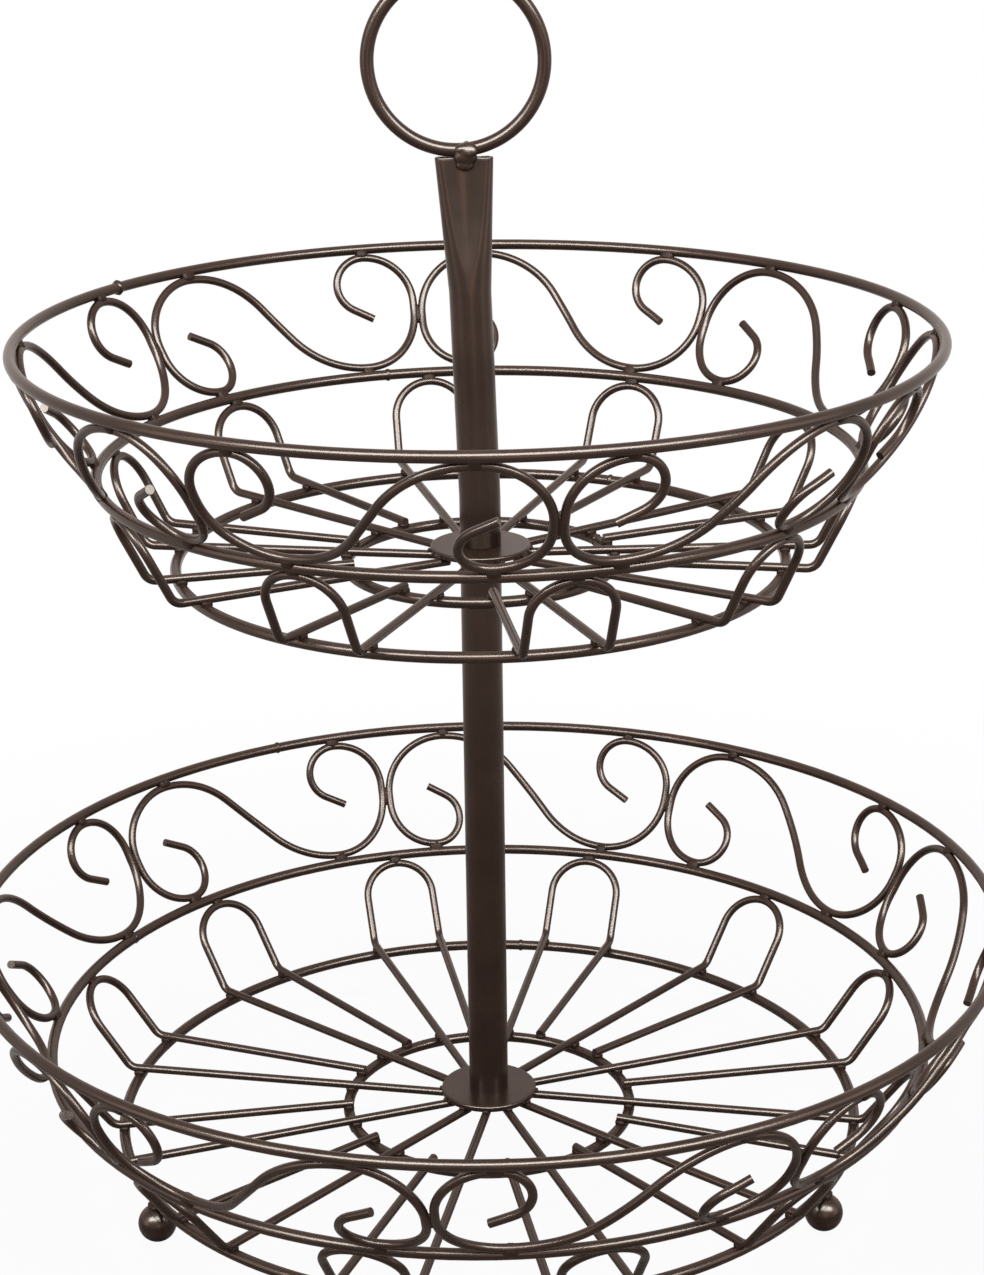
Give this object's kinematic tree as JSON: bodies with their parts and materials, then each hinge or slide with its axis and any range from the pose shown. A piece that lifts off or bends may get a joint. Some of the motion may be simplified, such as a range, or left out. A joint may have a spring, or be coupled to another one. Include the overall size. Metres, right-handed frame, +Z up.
{
  "type": "tiered wire basket",
  "caption": "Free-standing wire basket stand: round tiers with scrollwork sides and hairpin floors on a central tube post, ball feet below and a ring handle on top.",
  "frame": {"origin": "on the table under the middle of the post, at the level of the flats under the feet", "axes": "+Z up along the post, +X to the right across the handle ring, -Y towards the viewer of the picture"},
  "size_m": [0.3052, 0.3052, 0.3518],
  "materials": {
    "bronze_paint": "satin dark bronze powder coat",
    "plated_thread": "bright zinc plate"
  },
  "bodies": {
    "lower_tier": {"lower_base_ring": "bronze_paint", "lower_hairpin_1": "bronze_paint", "lower_hairpin_10": "bronze_paint", "lower_hairpin_11": "bronze_paint", "lower_hairpin_12": "bronze_paint", "lower_hairpin_2": "bronze_paint", "lower_hairpin_3": "bronze_paint", "lower_hairpin_4": "bronze_paint", "lower_hairpin_5": "bronze_paint", "lower_hairpin_6": "bronze_paint", "lower_hairpin_7": "bronze_paint", "lower_hairpin_8": "bronze_paint", "lower_hairpin_9": "bronze_paint", "lower_hub_disc": "bronze_paint", "lower_inner_ring": "bronze_paint", "lower_mid_ring": "bronze_paint", "lower_rim": "bronze_paint", "lower_scroll_1": "bronze_paint", "lower_scroll_2": "bronze_paint", "lower_scroll_3": "bronze_paint", "lower_scroll_4": "bronze_paint", "lower_scroll_5": "bronze_paint", "lower_scroll_6": "bronze_paint", "lower_scroll_7": "bronze_paint", "lower_scroll_8": "bronze_paint", "lower_scroll_9": "bronze_paint", "foot_1": "bronze_paint", "foot_2": "bronze_paint", "foot_3": "bronze_paint"},
    "base_fastener": {"base_screw": "plated_thread"},
    "post": {"lower_post": "bronze_paint", "lower_post_nuts": "plated_thread"},
    "stud": {"joining_stud": "plated_thread"},
    "upper_tier": {"upper_base_ring": "bronze_paint", "upper_hairpin_1": "bronze_paint", "upper_hairpin_10": "bronze_paint", "upper_hairpin_2": "bronze_paint", "upper_hairpin_3": "bronze_paint", "upper_hairpin_4": "bronze_paint", "upper_hairpin_5": "bronze_paint", "upper_hairpin_6": "bronze_paint", "upper_hairpin_7": "bronze_paint", "upper_hairpin_8": "bronze_paint", "upper_hairpin_9": "bronze_paint", "upper_hub_disc": "bronze_paint", "upper_inner_ring": "bronze_paint", "upper_mid_ring": "bronze_paint", "upper_rim": "bronze_paint", "upper_scroll_1": "bronze_paint", "upper_scroll_2": "bronze_paint", "upper_scroll_3": "bronze_paint", "upper_scroll_4": "bronze_paint", "upper_scroll_5": "bronze_paint", "upper_scroll_6": "bronze_paint", "upper_scroll_7": "bronze_paint", "upper_scroll_8": "bronze_paint"},
    "handle": {"upper_post": "bronze_paint", "upper_post_nut": "plated_thread", "handle_ring": "bronze_paint"}
  },
  "joints": [
    {"name": "base_screw_turn", "type": "hinge", "parent": "lower_tier", "child": "base_fastener", "pos_m": [0, 0, 0.0165], "axis": [0, 0, -1], "range_deg": [0, 3600]},
    {"name": "post_rise", "type": "slide", "parent": "lower_tier", "child": "post", "axis": [0, 0, 1], "range_m": [0, 0.01]},
    {"name": "upper_tier_turn", "type": "hinge", "parent": "post", "child": "upper_tier", "pos_m": [0, 0, 0.187], "axis": [0, 0, 1], "continuous": true},
    {"name": "handle_rise", "type": "slide", "parent": "post", "child": "stud", "axis": [0, 0, 1], "range_m": [0, 0.011]},
    {"name": "handle_turn", "type": "hinge", "parent": "stud", "child": "handle", "pos_m": [0, 0, 0.19], "axis": [0, 0, 1], "range_deg": [0, 3960]}
  ],
  "couplings": [
    {"joint": "base_screw_turn", "follows": "post_rise", "rad_per_m": 6283.2},
    {"joint": "handle_rise", "follows": "handle_turn", "m_per_rad": 0.00015915}
  ]
}
